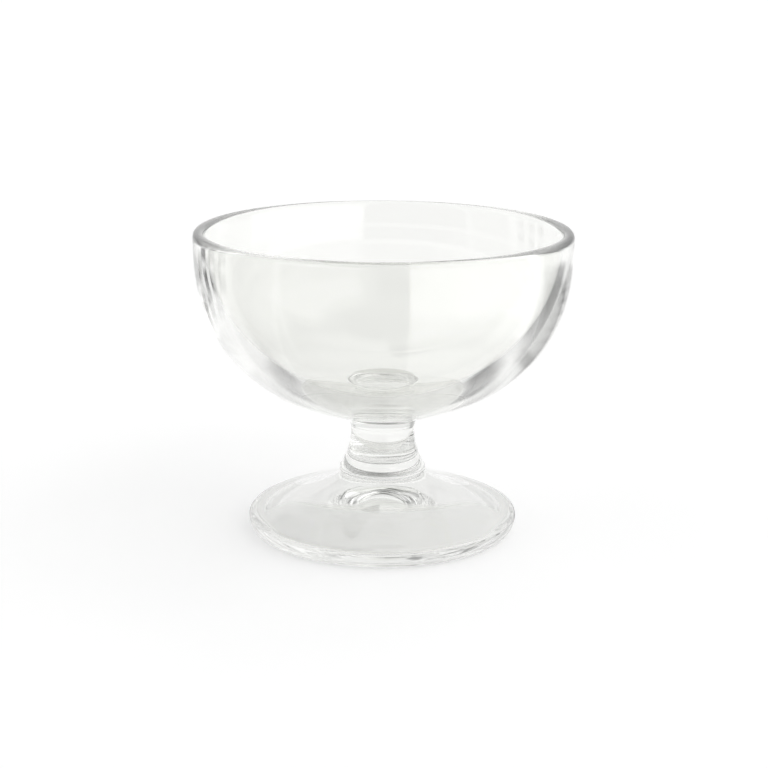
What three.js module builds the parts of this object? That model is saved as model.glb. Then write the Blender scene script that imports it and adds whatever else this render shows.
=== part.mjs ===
// A stemmed dessert glass: a deep round bowl on a short waisted stem and a broad hollow foot.
// Millimetres, +Z up. The origin is the middle of the plane that the foot rests on.
// The pieces are fused hot on flat faces, one on top of the other, so each starts where the last one ends.
import * as THREE from 'three';

// Foot
const FOOT_RADIUS = 38.2; // at the edge, its widest place
const FOOT_HEIGHT = 16.1; // from the table to the face under the ring
const FOOT_REST_RADIUS = 35; // outside of the flat ring that stands on the table
const FOOT_EDGE_HEIGHT = 3.5; // of the widest place above the table
const FOOT_SHOULDER_RADIUS = 35.7; // where the round edge runs into the slope
const FOOT_SHOULDER_HEIGHT = 5.5;
const FOOT_SLOPE = 0.175; // rise of the slope at the shoulder, for each millimetre inwards
const FOOT_SLOPE_RUN = 9.7; // how far the slope holds before it bends upwards
const FOOT_TOP_RADIUS = 11.5; // face fused to the ring
const FOOT_HUB_STEEPNESS = 1.2; // fall of the hub below the ring, for each millimetre outwards
const FOOT_HUB_RUN = 3.5; // how far the hub holds that fall before it bends outwards

// Hollow under the foot
const HOLLOW_RADIUS = 33.4; // at the table, inside of the flat ring
const HOLLOW_HEIGHT = 9; // at the axis
const HOLLOW_DOME = 5.5; // how far its rounded top stays level
const HOLLOW_SLOPE = 0.36; // rise at the flat ring, for each millimetre inwards
const HOLLOW_SLOPE_RUN = 12; // how far that slope holds before it bends

// Ring between foot and stem
const RING_RADIUS = 12.3;
const RING_HEIGHT = 1.6;

// Stem
const STEM_HEIGHT = 16.1;
const STEM_FOOT_RADIUS = 12; // face fused to the ring
const STEM_WAIST_RADIUS = 9; // its narrowest place
const STEM_WAIST_HEIGHT = 11; // of the narrowest place above the ring
const STEM_NECK_RADIUS = 9.3; // where the flare under the bowl begins
const STEM_NECK_HEIGHT = 12.5; // of the neck above the ring
const STEM_FLARE_RADIUS = 10; // corner under the bowl that the flare rounds off
const STEM_FLARE_DROP = 0.35; // of that corner below the bowl
const STEM_TOP_RADIUS = 12; // face fused to the bowl

// Bowl
const RIM_RADIUS = 52.5; // outside of the rim, the widest place of the glass
const BOWL_HEIGHT = 52; // from the stem to the top of the rim
const BOWL_WALL = 3.4; // at the rim, which is rounded over this width
const BOWL_FLOOR = 4.3; // glass between the stem and the inside of the bowl
const OUTSIDE_POWERS = { radius: 2.03, drop: 2.54 }; // of the outside curve: 2 is an ellipse, more is squarer
const INSIDE_POWERS = { radius: 2, drop: 2.3 }; // the same for the inside curve

// Glass as it looks
const GLASS_COLOUR = 0xe6e8e3;
const GLASS_ROUGHNESS = 0.03;
const GLASS_OPACITY = 0.35;

// Fineness of the faceted solids
const SIDES = 64; // round the axis
const CURVE_STEPS = 4; // along each short bend of an outline
const HOLLOW_STEPS = 10; // along the hollow under the foot
const BOWL_STEPS = 14; // along each side of the bowl

// Heights at which the pieces meet
const FOOT_TOP = FOOT_HEIGHT;
const RING_TOP = FOOT_TOP + RING_HEIGHT;
const STEM_TOP = RING_TOP + STEM_HEIGHT;
const RIM_TOP = STEM_TOP + BOWL_HEIGHT;

// A closed solid of glass, turned about the axis from an outline of (radius, height) points.
function turnedPiece(name, outline) {
  const geometry = new THREE.LatheGeometry(outline, SIDES);
  geometry.rotateX(Math.PI / 2);
  const material = new THREE.MeshStandardMaterial({
    color: GLASS_COLOUR,
    roughness: GLASS_ROUGHNESS,
    metalness: 0,
    transparent: true,
    opacity: GLASS_OPACITY,
  });
  const piece = new THREE.Mesh(geometry, material);
  piece.name = name;
  return piece;
}

// The hollow under the foot, from its rounded top on the axis down to the flat ring.
function hollowCurve() {
  const hollow = new THREE.CubicBezierCurve(
    new THREE.Vector2(0, HOLLOW_HEIGHT),
    new THREE.Vector2(HOLLOW_DOME, HOLLOW_HEIGHT),
    new THREE.Vector2(HOLLOW_RADIUS - HOLLOW_SLOPE_RUN, HOLLOW_SLOPE_RUN * HOLLOW_SLOPE),
    new THREE.Vector2(HOLLOW_RADIUS, 0),
  );
  return hollow.getPoints(HOLLOW_STEPS);
}

// The foot: hollow underside, flat ring, round edge, long slope and hub.
function makeFoot() {
  const upper = new THREE.Path();
  upper.moveTo(FOOT_REST_RADIUS, 0);
  upper.quadraticCurveTo(FOOT_RADIUS, 0, FOOT_RADIUS, FOOT_EDGE_HEIGHT);
  const edgeCorner = FOOT_SHOULDER_HEIGHT - FOOT_SLOPE * (FOOT_RADIUS - FOOT_SHOULDER_RADIUS);
  upper.quadraticCurveTo(FOOT_RADIUS, edgeCorner, FOOT_SHOULDER_RADIUS, FOOT_SHOULDER_HEIGHT);
  upper.bezierCurveTo(
    FOOT_SHOULDER_RADIUS - FOOT_SLOPE_RUN,
    FOOT_SHOULDER_HEIGHT + FOOT_SLOPE_RUN * FOOT_SLOPE,
    FOOT_TOP_RADIUS + FOOT_HUB_RUN,
    FOOT_TOP - FOOT_HUB_RUN * FOOT_HUB_STEEPNESS,
    FOOT_TOP_RADIUS,
    FOOT_TOP,
  );
  upper.lineTo(0, FOOT_TOP);
  return turnedPiece('foot', [...hollowCurve(), ...upper.getPoints(CURVE_STEPS)]);
}

// The ring: a round bead that is as wide at each face as the piece it is fused to.
function makeRing() {
  const middle = (FOOT_TOP + RING_TOP) / 2;
  const outline = new THREE.Path();
  outline.moveTo(0, FOOT_TOP);
  outline.lineTo(FOOT_TOP_RADIUS, FOOT_TOP);
  outline.quadraticCurveTo(RING_RADIUS, FOOT_TOP, RING_RADIUS, middle);
  outline.quadraticCurveTo(RING_RADIUS, RING_TOP, STEM_FOOT_RADIUS, RING_TOP);
  outline.lineTo(0, RING_TOP);
  return turnedPiece('foot_ring', outline.getPoints(CURVE_STEPS));
}

// The stem: it narrows from the ring to its waist, widens a little to its neck and flares under the bowl.
function makeStem() {
  const waist = RING_TOP + STEM_WAIST_HEIGHT;
  const neck = RING_TOP + STEM_NECK_HEIGHT;
  const outline = new THREE.Path();
  outline.moveTo(0, RING_TOP);
  outline.lineTo(STEM_FOOT_RADIUS, RING_TOP);
  outline.quadraticCurveTo(STEM_WAIST_RADIUS, (RING_TOP + waist) / 2, STEM_WAIST_RADIUS, waist);
  outline.quadraticCurveTo(STEM_WAIST_RADIUS, (waist + neck) / 2, STEM_NECK_RADIUS, neck);
  outline.quadraticCurveTo(STEM_FLARE_RADIUS, STEM_TOP - STEM_FLARE_DROP, STEM_TOP_RADIUS, STEM_TOP);
  outline.lineTo(0, STEM_TOP);
  return turnedPiece('stem', outline.getPoints(CURVE_STEPS));
}

// Points down a bowl-shaped curve from its brim to where its radius is endRadius.
// The curve is (r / radius) ^ powers.radius + (drop / depth) ^ powers.drop = 1.
function bowlCurve(radius, depth, powers, brim, endRadius) {
  const lastAngle = Math.acos((endRadius / radius) ** (powers.radius / 2));
  const points = [];
  for (let step = 0; step <= BOWL_STEPS; step += 1) {
    const angle = (lastAngle * step) / BOWL_STEPS;
    const share = Math.max(Math.cos(angle), 0) ** (2 / powers.radius);
    const drop = depth * Math.sin(angle) ** (2 / powers.drop);
    points.push(new THREE.Vector2(radius * share, brim - drop));
  }
  return points;
}

// The bowl: seat on the stem, outside curve, round rim, inside curve.
function makeBowl() {
  const brim = RIM_TOP - BOWL_WALL / 2;
  const seatShare = 1 - (STEM_TOP_RADIUS / RIM_RADIUS) ** OUTSIDE_POWERS.radius;
  const outsideDepth = (brim - STEM_TOP) / seatShare ** (1 / OUTSIDE_POWERS.drop);
  const insideDepth = brim - STEM_TOP - BOWL_FLOOR;
  const outside = bowlCurve(RIM_RADIUS, outsideDepth, OUTSIDE_POWERS, brim, STEM_TOP_RADIUS);
  const inside = bowlCurve(RIM_RADIUS - BOWL_WALL, insideDepth, INSIDE_POWERS, brim, 0);
  inside[BOWL_STEPS].x = 0;
  const rim = new THREE.Path();
  rim.absarc(RIM_RADIUS - BOWL_WALL / 2, brim, BOWL_WALL / 2, 0, Math.PI, false);
  const overRim = rim.getPoints(CURVE_STEPS).slice(1, -1);
  const outline = [new THREE.Vector2(0, STEM_TOP), ...outside.reverse(), ...overRim, ...inside];
  return turnedPiece('bowl', outline);
}

const glass = new THREE.Group();
glass.add(makeFoot(), makeRing(), makeStem(), makeBowl());

export default glass;
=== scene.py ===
import math

import bmesh
import bpy
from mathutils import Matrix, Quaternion, Vector


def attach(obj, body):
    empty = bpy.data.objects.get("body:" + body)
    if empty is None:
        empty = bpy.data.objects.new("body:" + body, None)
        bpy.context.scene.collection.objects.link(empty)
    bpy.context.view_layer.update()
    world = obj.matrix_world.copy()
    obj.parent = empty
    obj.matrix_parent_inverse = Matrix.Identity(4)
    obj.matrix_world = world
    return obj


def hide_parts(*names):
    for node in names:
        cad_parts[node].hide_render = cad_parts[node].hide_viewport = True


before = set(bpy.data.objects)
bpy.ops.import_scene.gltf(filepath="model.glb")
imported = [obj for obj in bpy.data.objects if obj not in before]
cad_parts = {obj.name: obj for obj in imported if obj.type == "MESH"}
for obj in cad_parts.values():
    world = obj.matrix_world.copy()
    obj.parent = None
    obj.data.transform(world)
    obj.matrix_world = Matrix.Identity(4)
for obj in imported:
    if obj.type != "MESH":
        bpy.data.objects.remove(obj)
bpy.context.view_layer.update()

# A clear stemmed dessert glass on a white table. The visible pieces repeat the outlines of the solids, only
# finer. Lengths are in millimetres, as in the part's source, where nothing else is said.
MM = 0.001

# Foot
FOOT_RADIUS = 38.2  # at the edge, its widest place
FOOT_HEIGHT = 16.1  # from the table to the face under the ring
FOOT_REST_RADIUS = 35  # outside of the flat ring that stands on the table
FOOT_EDGE_HEIGHT = 3.5  # of the widest place above the table
FOOT_SHOULDER_RADIUS = 35.7  # where the round edge runs into the slope
FOOT_SHOULDER_HEIGHT = 5.5
FOOT_SLOPE = 0.175  # rise of the slope at the shoulder, for each millimetre inwards
FOOT_SLOPE_RUN = 9.7  # how far the slope holds before it bends upwards
FOOT_TOP_RADIUS = 11.5  # face fused to the ring
FOOT_HUB_STEEPNESS = 1.2  # fall of the hub below the ring, for each millimetre outwards
FOOT_HUB_RUN = 3.5  # how far the hub holds that fall before it bends outwards

# Hollow under the foot
HOLLOW_RADIUS = 33.4  # at the table, inside of the flat ring
HOLLOW_HEIGHT = 9  # at the axis
HOLLOW_DOME = 5.5  # how far its rounded top stays level
HOLLOW_SLOPE = 0.36  # rise at the flat ring, for each millimetre inwards
HOLLOW_SLOPE_RUN = 12  # how far that slope holds before it bends

# Ring between foot and stem
RING_RADIUS = 12.3
RING_HEIGHT = 1.6

# Stem
STEM_HEIGHT = 16.1
STEM_FOOT_RADIUS = 12  # face fused to the ring
STEM_WAIST_RADIUS = 9  # its narrowest place
STEM_WAIST_HEIGHT = 11  # of the narrowest place above the ring
STEM_NECK_RADIUS = 9.3  # where the flare under the bowl begins
STEM_NECK_HEIGHT = 12.5  # of the neck above the ring
STEM_FLARE_RADIUS = 10  # corner under the bowl that the flare rounds off
STEM_FLARE_DROP = 0.35  # of that corner below the bowl
STEM_TOP_RADIUS = 12  # face fused to the bowl

# Bowl
RIM_RADIUS = 52.5  # outside of the rim, the widest place of the glass
BOWL_HEIGHT = 52  # from the stem to the top of the rim
BOWL_WALL = 3.4  # at the rim, which is rounded over this width
BOWL_FLOOR = 4.3  # glass between the stem and the inside of the bowl
OUTSIDE_POWERS = (2.03, 2.54)  # of radius and drop in the outside curve: 2 is an ellipse, more is squarer
INSIDE_POWERS = (2, 2.3)  # the same for the inside curve

# Heights at which the pieces meet
FOOT_TOP = FOOT_HEIGHT
RING_TOP = FOOT_TOP + RING_HEIGHT
STEM_TOP = RING_TOP + STEM_HEIGHT
RIM_TOP = STEM_TOP + BOWL_HEIGHT

# Fineness of the visible meshes
SIDES = 192  # round the axis
CURVE_STEPS = 32  # along each short bend of an outline
FLARE_STEPS = 48  # along the flare under the bowl
LONG_STEPS = 64  # along the hollow and the slope of the foot
RIM_STEPS = 24  # over the rim
BOWL_STEPS = 96  # along each side of the bowl

# Places of the two materials on each piece
SKIN_MATERIAL = 0
JOINT_MATERIAL = 1


def bezier(points, steps):
    """Points of a Bezier curve of any degree, ends included."""
    made = []
    for step in range(steps + 1):
        share = step / steps
        level = [Vector(point) for point in points]
        while len(level) > 1:
            level = [a.lerp(b, share) for a, b in zip(level, level[1:])]
        made.append(level[0])
    return made


def bowl_curve(radius, depth, powers, brim, end_radius):
    """Points down a bowl-shaped curve from its brim to where its radius is end_radius.

    The curve is (r / radius) ^ powers[0] + (drop / depth) ^ powers[1] = 1.
    """
    radius_power, drop_power = powers
    last_angle = math.acos((end_radius / radius) ** (radius_power / 2))
    made = []
    for step in range(BOWL_STEPS + 1):
        angle = last_angle * step / BOWL_STEPS
        share = max(math.cos(angle), 0) ** (2 / radius_power)
        drop = depth * math.sin(angle) ** (2 / drop_power)
        made.append(Vector((radius * share, brim - drop)))
    return made


def joined(*stretches):
    """One outline from stretches that each begin where the last one ends."""
    outline = list(stretches[0])
    for stretch in stretches[1:]:
        outline += stretch[1:]
    return outline


def hollow_curve():
    """The hollow under the foot, from its rounded top on the axis down to the flat ring."""
    return bezier(
        [
            (0, HOLLOW_HEIGHT),
            (HOLLOW_DOME, HOLLOW_HEIGHT),
            (HOLLOW_RADIUS - HOLLOW_SLOPE_RUN, HOLLOW_SLOPE_RUN * HOLLOW_SLOPE),
            (HOLLOW_RADIUS, 0),
        ],
        LONG_STEPS,
    )


def foot_outline():
    """Hollow from the axis, flat ring, round edge, slope and hub."""
    rest = [Vector((HOLLOW_RADIUS, 0)), Vector((FOOT_REST_RADIUS, 0))]
    edge = (FOOT_RADIUS, FOOT_EDGE_HEIGHT)
    shoulder = (FOOT_SHOULDER_RADIUS, FOOT_SHOULDER_HEIGHT)
    corner = FOOT_SHOULDER_HEIGHT - FOOT_SLOPE * (FOOT_RADIUS - FOOT_SHOULDER_RADIUS)
    under_edge = bezier([(FOOT_REST_RADIUS, 0), (FOOT_RADIUS, 0), edge], CURVE_STEPS)
    over_edge = bezier([edge, (FOOT_RADIUS, corner), shoulder], CURVE_STEPS)
    slope = bezier(
        [
            shoulder,
            (FOOT_SHOULDER_RADIUS - FOOT_SLOPE_RUN, FOOT_SHOULDER_HEIGHT + FOOT_SLOPE_RUN * FOOT_SLOPE),
            (FOOT_TOP_RADIUS + FOOT_HUB_RUN, FOOT_TOP - FOOT_HUB_RUN * FOOT_HUB_STEEPNESS),
            (FOOT_TOP_RADIUS, FOOT_TOP),
        ],
        LONG_STEPS,
    )
    return joined(hollow_curve(), rest, under_edge, over_edge, slope)


def ring_outline():
    """A round bead, as wide at each face as the piece it is fused to."""
    middle = (RING_RADIUS, (FOOT_TOP + RING_TOP) / 2)
    lower = bezier([(FOOT_TOP_RADIUS, FOOT_TOP), (RING_RADIUS, FOOT_TOP), middle], CURVE_STEPS)
    upper = bezier([middle, (RING_RADIUS, RING_TOP), (STEM_FOOT_RADIUS, RING_TOP)], CURVE_STEPS)
    return joined(lower, upper)


def stem_outline():
    """Narrows to the waist, widens a little to the neck and flares under the bowl."""
    waist = (STEM_WAIST_RADIUS, RING_TOP + STEM_WAIST_HEIGHT)
    neck = (STEM_NECK_RADIUS, RING_TOP + STEM_NECK_HEIGHT)
    below_waist = (STEM_WAIST_RADIUS, (RING_TOP + waist[1]) / 2)
    above_waist = (STEM_WAIST_RADIUS, (waist[1] + neck[1]) / 2)
    flare_corner = (STEM_FLARE_RADIUS, STEM_TOP - STEM_FLARE_DROP)
    return joined(
        bezier([(STEM_FOOT_RADIUS, RING_TOP), below_waist, waist], CURVE_STEPS),
        bezier([waist, above_waist, neck], CURVE_STEPS),
        bezier([neck, flare_corner, (STEM_TOP_RADIUS, STEM_TOP)], FLARE_STEPS),
    )


def rim_curve(brim):
    """Half a circle over the rim, from the outside to the inside."""
    round_radius = BOWL_WALL / 2
    made = []
    for step in range(RIM_STEPS + 1):
        angle = math.pi * step / RIM_STEPS
        across = RIM_RADIUS - round_radius + round_radius * math.cos(angle)
        made.append(Vector((across, brim + round_radius * math.sin(angle))))
    return made


def bowl_outline():
    """Outside curve up from the stem, round rim, inside curve down to the axis."""
    brim = RIM_TOP - BOWL_WALL / 2
    seat_share = 1 - (STEM_TOP_RADIUS / RIM_RADIUS) ** OUTSIDE_POWERS[0]
    outside_depth = (brim - STEM_TOP) / seat_share ** (1 / OUTSIDE_POWERS[1])
    inside_depth = brim - STEM_TOP - BOWL_FLOOR
    outside = bowl_curve(RIM_RADIUS, outside_depth, OUTSIDE_POWERS, brim, STEM_TOP_RADIUS)
    inside = bowl_curve(RIM_RADIUS - BOWL_WALL, inside_depth, INSIDE_POWERS, brim, 0)
    inside[-1].x = 0
    return joined(outside[::-1], rim_curve(brim), inside)


def add_ring(mesh, point):
    """Corners round the axis through one point of an outline."""
    ring = []
    for side in range(SIDES):
        angle = 2 * math.pi * side / SIDES
        place = Vector((point.x * math.cos(angle), point.x * math.sin(angle), point.y))
        ring.append(mesh.verts.new(place * MM))
    return ring


def add_wall(mesh, lower, upper):
    """Faces from one ring to the next."""
    for side in range(SIDES):
        after = (side + 1) % SIDES
        mesh.faces.new((lower[side], lower[after], upper[after], upper[side]))


def add_end(mesh, ring, height, material):
    """Faces from a ring to the axis. They face up, or down where the ring is given in reverse."""
    pole = mesh.verts.new((0, 0, height * MM))
    for side in range(SIDES):
        after = (side + 1) % SIDES
        face = mesh.faces.new((ring[side], ring[after], pole))
        face.material_index = material


def turned_piece(name, outline, lower_end, upper_end):
    """A closed piece turned about the axis; each end has its own place among the materials."""
    mesh = bmesh.new()
    rings = [add_ring(mesh, point) for point in outline if point.x > 0]
    for lower, upper in zip(rings, rings[1:]):
        add_wall(mesh, lower, upper)
    add_end(mesh, rings[0][::-1], outline[0].y, lower_end)
    add_end(mesh, rings[-1], outline[-1].y, upper_end)
    for face in mesh.faces:
        face.smooth = True
    for edge in mesh.edges:
        materials = {face.material_index for face in edge.link_faces}
        edge.smooth = len(materials) == 1
    data = bpy.data.meshes.new(name)
    mesh.to_mesh(data)
    mesh.free()
    piece = bpy.data.objects.new(name, data)
    bpy.context.collection.objects.link(piece)
    return piece


def put_in(tree, socket, value):
    """Sets a socket to a number, or links another node's output to it."""
    if isinstance(value, (int, float)):
        socket.default_value = value
    else:
        tree.links.new(value, socket)


def math_node(tree, operation, *values):
    """Output of a math node; each value is a number or another node's output."""
    node = tree.nodes.new("ShaderNodeMath")
    node.operation = operation
    for socket, value in zip(node.inputs, values):
        put_in(tree, socket, value)
    return node.outputs[0]


def mixed(tree, share, first, second):
    """Goes from first to second as share goes from 0 to 1."""
    node = tree.nodes.new("ShaderNodeMix")
    put_in(tree, node.inputs["Factor"], share)
    put_in(tree, node.inputs["A"], first)
    put_in(tree, node.inputs["B"], second)
    return node.outputs["Result"]


def smooth_step(tree, value, start, end):
    """0 up to start and 1 from end on."""
    node = tree.nodes.new("ShaderNodeMapRange")
    node.interpolation_type = "SMOOTHSTEP"
    tree.links.new(value, node.inputs["Value"])
    node.inputs["From Min"].default_value = start
    node.inputs["From Max"].default_value = end
    return node.outputs["Result"]


def between(tree, value, low, high, edge):
    """1 between low and high, fading to 0 over an edge of this width."""
    above = smooth_step(tree, value, low - edge / 2, low + edge / 2)
    below = smooth_step(tree, value, high + edge / 2, high - edge / 2)
    return math_node(tree, "MULTIPLY", above, below)


def degrees_from(tree, direction, middle):
    """Degrees round the axis from the direction called middle; 0 is the front and 90 the right."""
    turn = tree.nodes.new("ShaderNodeVectorRotate")
    turn.rotation_type = "Z_AXIS"
    tree.links.new(direction, turn.inputs["Vector"])
    turn.inputs["Angle"].default_value = math.radians(-middle)
    axes = tree.nodes.new("ShaderNodeSeparateXYZ")
    tree.links.new(turn.outputs["Vector"], axes.inputs[0])
    forward = math_node(tree, "MULTIPLY", axes.outputs["Y"], -1)
    return math_node(tree, "DEGREES", math_node(tree, "ARCTAN2", axes.outputs["X"], forward))


def bare_material(name):
    """A material with nothing in it but its output: the material, its nodes and the output's surface."""
    material = bpy.data.materials.new(name)
    material.use_nodes = True
    tree = material.node_tree
    tree.nodes.remove(tree.nodes["Principled BSDF"])
    return material, tree, tree.nodes["Material Output"].inputs["Surface"]


# Clear pressed glass
GLASS_TINT = (0.956, 0.96, 0.941, 1)
GLASS_IOR = 1.51
POLISH_SCALE = 45  # patches of better and worse polish in a metre
POLISH_DETAIL = 3
POLISH_LOW = 0.35  # noise at which the glass is smoothest
POLISH_HIGH = 0.75  # noise at which it is roughest
LEAST_ROUGHNESS = 0
MOST_ROUGHNESS = 0.015
RIPPLE_SCALE = 55  # ripples of the mould in a metre
RIPPLE_DETAIL = 1
RIPPLE_HEIGHT = 0.00001  # metres


def noise(tree, place, scale, detail):
    """Soft procedural noise over the glass."""
    node = tree.nodes.new("ShaderNodeTexNoise")
    node.inputs["Scale"].default_value = scale
    node.inputs["Detail"].default_value = detail
    tree.links.new(place, node.inputs["Vector"])
    return node.outputs["Fac"]


def glass_material():
    """Clear pressed glass: faint ripples of the mould and patches that are a little less polished."""
    material = bpy.data.materials.new("clear_glass_look")
    material.use_nodes = True
    tree = material.node_tree
    shader = tree.nodes["Principled BSDF"]
    shader.inputs["Base Color"].default_value = GLASS_TINT
    shader.inputs["IOR"].default_value = GLASS_IOR
    shader.inputs["Transmission Weight"].default_value = 1
    place = tree.nodes.new("ShaderNodeTexCoord").outputs["Object"]
    roughness = tree.nodes.new("ShaderNodeMapRange")
    tree.links.new(noise(tree, place, POLISH_SCALE, POLISH_DETAIL), roughness.inputs["Value"])
    roughness.inputs["From Min"].default_value = POLISH_LOW
    roughness.inputs["From Max"].default_value = POLISH_HIGH
    roughness.inputs["To Min"].default_value = LEAST_ROUGHNESS
    roughness.inputs["To Max"].default_value = MOST_ROUGHNESS
    tree.links.new(roughness.outputs["Result"], shader.inputs["Roughness"])
    bump = tree.nodes.new("ShaderNodeBump")
    bump.inputs["Strength"].default_value = 1
    bump.inputs["Distance"].default_value = RIPPLE_HEIGHT
    tree.links.new(noise(tree, place, RIPPLE_SCALE, RIPPLE_DETAIL), bump.inputs["Height"])
    tree.links.new(bump.outputs["Normal"], shader.inputs["Normal"])
    return material


def joint_material():
    """Faces fused inside the glass, which light passes as if they were not there."""
    material, tree, surface = bare_material("fused_joint")
    clear = tree.nodes.new("ShaderNodeBsdfTransparent")
    tree.links.new(clear.outputs["BSDF"], surface)
    return material


def make_glass():
    """The four pieces, each in place of its solid, with clear faces where two of them are fused."""
    skin = glass_material()
    joint = joint_material()
    for node, outline, lower_end, upper_end in (
        ("foot", foot_outline(), SKIN_MATERIAL, JOINT_MATERIAL),
        ("foot_ring", ring_outline(), JOINT_MATERIAL, JOINT_MATERIAL),
        ("stem", stem_outline(), JOINT_MATERIAL, JOINT_MATERIAL),
        ("bowl", bowl_outline(), JOINT_MATERIAL, SKIN_MATERIAL),
    ):
        piece = turned_piece("glass_" + node, outline, lower_end, upper_end)
        piece.data.materials.append(skin)
        piece.data.materials.append(joint)
        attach(piece, "root")
        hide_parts(node)


make_glass()


def staged_face(name, corners, material):
    """One flat face of the studio, which isn't part of the glass."""
    mesh = bpy.data.meshes.new(name)
    mesh.from_pydata(corners, [], [range(len(corners))])
    mesh.materials.append(material)
    face = bpy.data.objects.new(name, mesh)
    bpy.context.collection.objects.link(face)
    return face


# White table, in metres
FLOOR_HALF_SIZE = 30
FLOOR_DROP = 0.0001  # below the foot, so that the two do not coincide
FLOOR_COLOUR = (0.75, 0.75, 0.75, 1)
FLOOR_GLOW = 0.495  # what the lit paint lacks of white


def floor_material():
    """White paint that keeps the shadow. A glow for camera and glass alone adds what it lacks of white."""
    material, tree, surface = bare_material("floor_white")
    paint = tree.nodes.new("ShaderNodeBsdfDiffuse")
    paint.inputs["Color"].default_value = FLOOR_COLOUR
    rays = tree.nodes.new("ShaderNodeLightPath").outputs
    in_glass = math_node(tree, "MAXIMUM", rays["Is Glossy Ray"], rays["Is Transmission Ray"])
    seen = math_node(tree, "MAXIMUM", rays["Is Camera Ray"], in_glass)
    glow = tree.nodes.new("ShaderNodeEmission")
    tree.links.new(math_node(tree, "MULTIPLY", seen, FLOOR_GLOW), glow.inputs["Strength"])
    both = tree.nodes.new("ShaderNodeAddShader")
    tree.links.new(paint.outputs["BSDF"], both.inputs[0])
    tree.links.new(glow.outputs["Emission"], both.inputs[1])
    tree.links.new(both.outputs["Shader"], surface)
    return material


def make_floor():
    """A table that reaches to the horizon."""
    sides = [(-1, -1), (1, -1), (1, 1), (-1, 1)]
    corners = [(x * FLOOR_HALF_SIZE, y * FLOOR_HALF_SIZE, -FLOOR_DROP) for x, y in sides]
    staged_face("floor", corners, floor_material())


make_floor()

# The studio round the glass: base light and panels of light or shade, each over those before it.
# A panel has its middle (degrees round from the front towards the right), half its width, its lower and upper
# edge above the horizon, the softness of its edges, and its brightness, where 1 is white.
STUDIO_BASE = 0.55
PANELS = {
    "back": (180, 45, -2, 46, 8, 0.88),
    "back_high_right": (160, 24, 46, 68, 4, 1.05),
    "back_high_left": (206, 22, 44, 60, 4, 0.05),
    "left_back": (224, 22, 21, 60, 8, 0.35),
    "left": (266, 24, 10, 52, 10, 0.85),
    "right": (100, 45, 8, 28, 6, 0.98),
    "right_back": (130, 12, 10, 42, 6, 1.05),
    "right_front": (68, 48, 26, 60, 8, 1.5),
    "right_front_low": (52, 34, -5, 9, 4, 1.2),
    "front_left_mid": (306, 17, 9, 30, 8, 0.8),
    "front_left": (345, 20, 26, 60, 8, 0.12),
    "front_left_low": (342, 32, -5, 9, 4, 0.1),
    "top": (0, 180, 70, 100, 10, 0.25),
}
WHITE = (1, 1, 1, 1)


def make_world():
    """Soft studio light by direction; the camera itself sees white."""
    world = bpy.data.worlds.new("studio")
    bpy.context.scene.world = world
    world.use_nodes = True
    tree = world.node_tree
    background = tree.nodes["Background"]
    background.inputs["Color"].default_value = WHITE
    direction = tree.nodes.new("ShaderNodeTexCoord").outputs["Generated"]
    axes = tree.nodes.new("ShaderNodeSeparateXYZ")
    tree.links.new(direction, axes.inputs[0])
    elevation = math_node(tree, "DEGREES", math_node(tree, "ARCSINE", axes.outputs["Z"]))
    light = STUDIO_BASE
    for middle, half_width, low, high, edge, brightness in PANELS.values():
        across = between(tree, degrees_from(tree, direction, middle), -half_width, half_width, edge)
        upright = between(tree, elevation, low, high, edge)
        light = mixed(tree, math_node(tree, "MULTIPLY", across, upright), light, brightness)
    is_camera = tree.nodes.new("ShaderNodeLightPath").outputs["Is Camera Ray"]
    tree.links.new(mixed(tree, is_camera, light, 1), background.inputs["Strength"])


make_world()

# Cards at the table, which show only in reflections. A card is a sector round the glass: from and to (degrees
# round from the front towards the right), the softness of these two edges, its nearest and farthest distance
# from the axis, and its brightness. The cards lie a little apart, between the foot and the floor.
CARD_DROP = 0.00004  # of the highest card below the foot, in metres
CARD_SPACING = 0.000002  # from one card down to the next, in metres
CARD_FADE = 0.15  # share of a distance over which a card fades, to either side of it
CARD_STEPS = 48  # along each arc
CARDS = {
    "card_right": (15, 104, 2, 122, 1500, 1.9),
    "card_right_back": (108, 140, 8, 92, 320, 0.25),
    "card_right_near": (92, 142, 10, 41, 66, 0.3),
    "card_left": (300, 374, 2, 65, 1500, 0.12),
    "card_left_side": (262, 298, 8, 65, 1500, 0.45),
    "card_left_near": (218, 268, 10, 41, 62, 0.5),
}

# Dark panes in rows at the left, which make the spots in the bowl's left edge
PANE_MIDDLES = (224, 237, 250)
PANE_WIDTH = 8
PANE_DISTANCES = ((180, 270), (320, 470), (580, 900))
PANE_SOFTNESS = 2
PANE_BRIGHTNESS = 0.05
for middle in PANE_MIDDLES:
    for near, far in PANE_DISTANCES:
        start = middle - PANE_WIDTH / 2
        end = middle + PANE_WIDTH / 2
        CARDS[f"card_pane_{middle}_{near}"] = (start, end, PANE_SOFTNESS, near, far, PANE_BRIGHTNESS)


def card_corners(middle, half_angle, nearest, farthest, drop):
    """Corners of a flat sector, along its inner arc and back along its outer one."""
    angles = [middle - half_angle + 2 * half_angle * step / CARD_STEPS for step in range(CARD_STEPS + 1)]
    corners = []
    for distance, order in ((nearest, angles), (farthest, angles[::-1])):
        for angle in order:
            right = distance * MM * math.sin(math.radians(angle))
            front = distance * MM * math.cos(math.radians(angle))
            corners.append((right, -front, -drop))
    return corners


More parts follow.
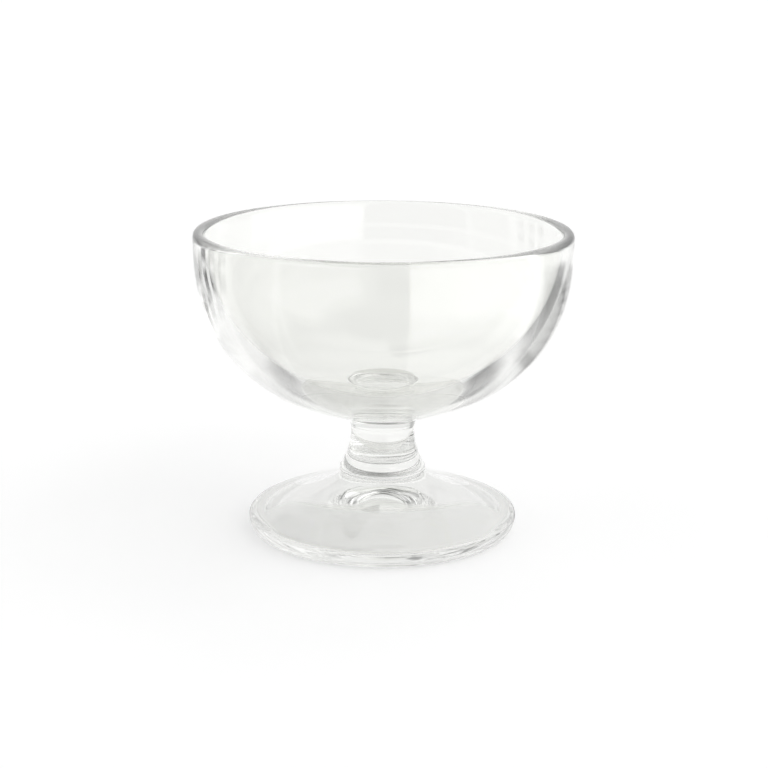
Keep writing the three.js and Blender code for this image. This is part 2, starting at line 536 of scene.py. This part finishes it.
def card_material(name, middle, half_width, edge, near, far, brightness):
    """Light or shade with soft edges, clear to light that has not been reflected on its way."""
    material, tree, surface = bare_material(name)
    place = tree.nodes.new("ShaderNodeTexCoord").outputs["Object"]
    across = between(tree, degrees_from(tree, place, middle), -half_width, half_width, edge)
    length = tree.nodes.new("ShaderNodeVectorMath")
    length.operation = "LENGTH"
    tree.links.new(place, length.inputs[0])
    distance = length.outputs["Value"]
    beyond = smooth_step(tree, distance, near * (1 - CARD_FADE) * MM, near * (1 + CARD_FADE) * MM)
    within = smooth_step(tree, distance, far * (1 + CARD_FADE) * MM, far * (1 - CARD_FADE) * MM)
    along = math_node(tree, "MULTIPLY", beyond, within)
    reflections = tree.nodes.new("ShaderNodeLightPath").outputs["Glossy Depth"]
    reflected = math_node(tree, "MINIMUM", reflections, 1)
    shown = math_node(tree, "MULTIPLY", math_node(tree, "MULTIPLY", across, along), reflected)
    clear = tree.nodes.new("ShaderNodeBsdfTransparent")
    glow = tree.nodes.new("ShaderNodeEmission")
    glow.inputs["Strength"].default_value = brightness
    mix = tree.nodes.new("ShaderNodeMixShader")
    tree.links.new(shown, mix.inputs["Fac"])
    tree.links.new(clear.outputs["BSDF"], mix.inputs[1])
    tree.links.new(glow.outputs["Emission"], mix.inputs[2])
    tree.links.new(mix.outputs["Shader"], surface)
    return material


def make_card(name, drop, start, end, edge, near, far, brightness):
    """One card, which neither the camera nor the light on the table meets."""
    middle = (start + end) / 2
    half_width = (end - start) / 2
    material = card_material(name, middle, half_width, edge, near, far, brightness)
    nearest = near * (1 - CARD_FADE)
    farthest = far * (1 + CARD_FADE)
    corners = card_corners(middle, half_width + edge / 2, nearest, farthest, drop)
    card = staged_face(name, corners, material)
    card.visible_camera = False
    card.visible_diffuse = False
    card.visible_shadow = False


for count, (name, sizes) in enumerate(CARDS.items()):
    make_card(name, CARD_DROP + count * CARD_SPACING, *sizes)

# Camera, from the outlines of rim and foot in the photo
CAMERA_PLACE = (0.32, -448.7, 160.8)
CAMERA_PITCH = 14.91  # degrees down from level
CAMERA_ROLL = 0.31  # degrees
CAMERA_LENS = 77.06
CAMERA_CLIP = 0.01  # nearest distance that is drawn, in metres


def make_camera():
    """The camera at the photo's viewing angle, with everything in focus."""
    data = bpy.data.cameras.new("camera")
    data.lens = CAMERA_LENS
    data.clip_start = CAMERA_CLIP
    camera = bpy.data.objects.new("camera", data)
    camera.location = Vector(CAMERA_PLACE) * MM
    camera.rotation_mode = "QUATERNION"
    pitch = Quaternion((1, 0, 0), math.radians(90 - CAMERA_PITCH))
    camera.rotation_quaternion = pitch @ Quaternion((0, 0, 1), math.radians(CAMERA_ROLL))
    bpy.context.collection.objects.link(camera)
    bpy.context.scene.camera = camera


make_camera()

# Light that stays in the glass for longer than this is lost, so that thick edges come out darker.
LIGHT_BOUNCES = 40
CLEAR_FACES = 48  # fused joints and cards that light may pass on its way

scene = bpy.context.scene
scene.view_settings.view_transform = "Standard"
scene.cycles.max_bounces = LIGHT_BOUNCES
scene.cycles.transmission_bounces = LIGHT_BOUNCES
scene.cycles.glossy_bounces = LIGHT_BOUNCES
scene.cycles.transparent_max_bounces = CLEAR_FACES
